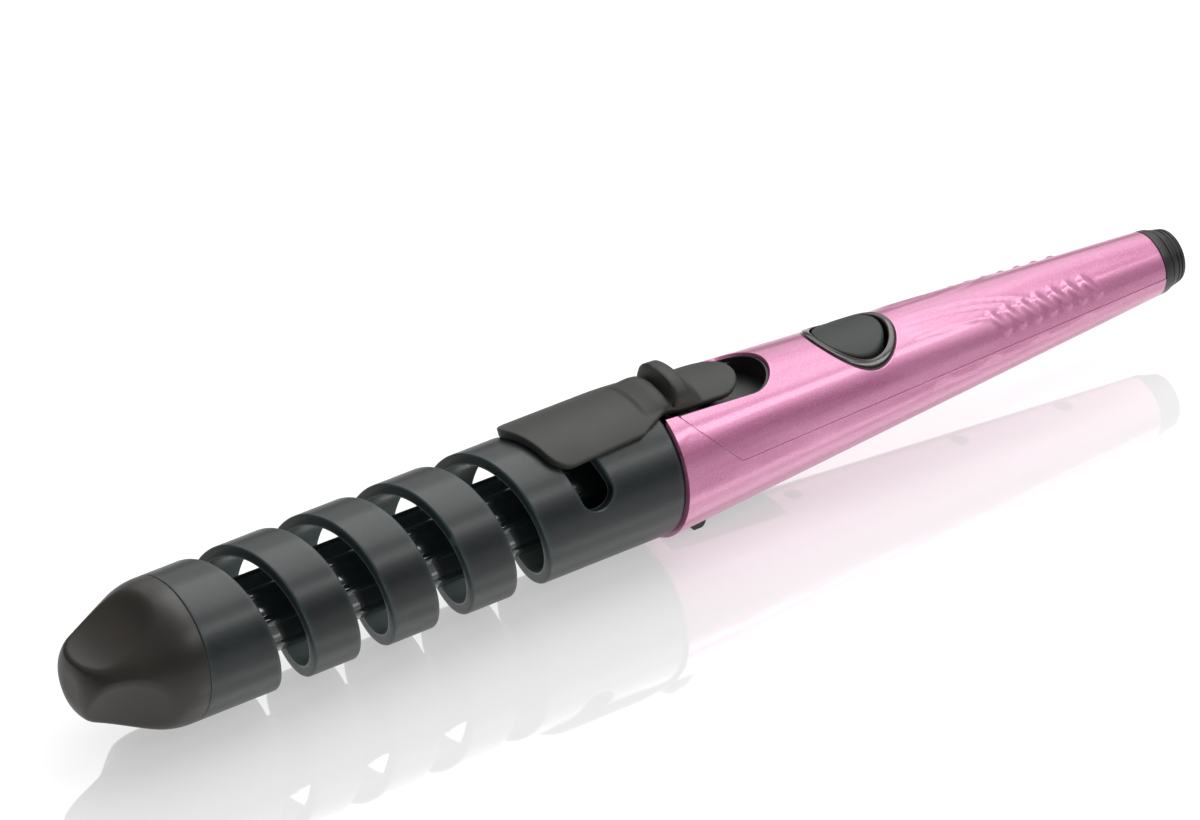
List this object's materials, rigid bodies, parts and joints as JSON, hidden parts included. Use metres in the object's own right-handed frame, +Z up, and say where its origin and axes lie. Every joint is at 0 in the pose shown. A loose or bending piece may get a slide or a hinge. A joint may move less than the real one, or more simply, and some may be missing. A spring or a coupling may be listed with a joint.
{
  "type": "automatic hair curler",
  "caption": "Hair curling wand: heated barrel inside a cool spiral-slotted sleeve, cool tip, spring clip, tapered handle with rocker switch, fold-out rest and cord swivel.",
  "frame": {"origin": "middle of the footprint's bounding box, on the surface that the object rests on", "axes": "+X along the long axis from the cool tip towards the cord outlet, +Z up through the clip and the switch, +Y to the far side when +X points right"},
  "size_m": [0.3396, 0.0398, 0.048],
  "materials": {
    "pink_plastic": "pearl metallic pink lacquer over moulded plastic, semi-gloss",
    "sleeve_plastic": "satin heat-resistant plastic, dark graphite with a slight teal cast",
    "tip_plastic": "matte heat-resistant plastic, brown-black",
    "barrel_coating": "glossy black ceramic coating on aluminium",
    "clip_plastic": "matte heat-resistant plastic, olive-black",
    "black_plastic": "matte black moulded plastic",
    "bezel_plastic": "semi-gloss black with a maroon cast",
    "rocker_plastic": "satin dark green-black",
    "insulator": "natural-coloured heat-resistant moulding",
    "aluminium": "extruded, as drawn",
    "ptc_ceramic": "fired ceramic",
    "brass": "stamped strip",
    "amber_film": "polyimide film",
    "steel": "zinc-plated or plain steel",
    "lead_jacket": "silicone-jacketed lead",
    "lead_jacket_black": "silicone-jacketed lead",
    "board_green": "solder-masked laminate",
    "capacitor_case": "moulded case"
  },
  "bodies": {
    "handle": {"cool_tip": "tip_plastic", "tip_screw": "steel", "barrel_front_plug": "insulator", "spiral_sleeve": "sleeve_plastic", "heating_barrel": "barrel_coating", "heater_block_upper": "aluminium", "heater_block_lower": "aluminium", "ptc_plates": "ptc_ceramic", "electrode_upper": "brass", "electrode_lower": "brass", "insulating_films": "amber_film", "thermal_fuse": "steel", "thermistor": "ptc_ceramic", "heater_leads": "lead_jacket", "barrel_socket": "black_plastic", "socket_screws": "steel", "clip_pivot_pin": "steel", "clip_spring": "steel", "clip_base": "black_plastic", "handle_upper_shell": "pink_plastic", "handle_lower_shell": "pink_plastic", "handle_screws": "steel", "switch_bezel": "bezel_plastic", "switch_body": "insulator", "switch_terminals": "brass", "circuit_board": "board_green", "film_capacitor": "capacitor_case", "triac": "black_plastic", "board_resistors": "insulator", "power_leads": "lead_jacket_black", "stand_pin": "steel", "end_cap": "black_plastic", "brush_holder": "insulator", "brush_contacts": "brass"},
    "clip": {"hair_clip": "clip_plastic"},
    "rocker": {"switch_rocker": "rocker_plastic"},
    "stand": {"rest_stand": "black_plastic"},
    "cord_outlet": {"swivel_gland": "black_plastic", "slip_ring_spindle": "insulator", "slip_rings": "brass"}
  },
  "joints": [
    {"name": "clip_hinge", "type": "hinge", "parent": "handle", "child": "clip", "pos_m": [0.0092, 0, 0.0362], "axis": [0, 1, 0], "range_deg": [0, 12], "stiffness_Nm_per_rad": 0.15, "springref_deg": -28.65, "deforming": ["clip_spring"]},
    {"name": "switch_pivot", "type": "hinge", "parent": "handle", "child": "rocker", "pos_m": [0.0656, 0, 0.0295], "axis": [0, 1, 0], "range_deg": [0, 7]},
    {"name": "stand_hinge", "type": "hinge", "parent": "handle", "child": "stand", "pos_m": [0.0138, 0, 0.0065], "axis": [0, 1, 0], "range_deg": [0, 100]},
    {"name": "cord_swivel", "type": "hinge", "parent": "handle", "child": "cord_outlet", "pos_m": [0.1632, 0, 0.022], "axis": [1, 0, 0], "continuous": true}
  ]
}
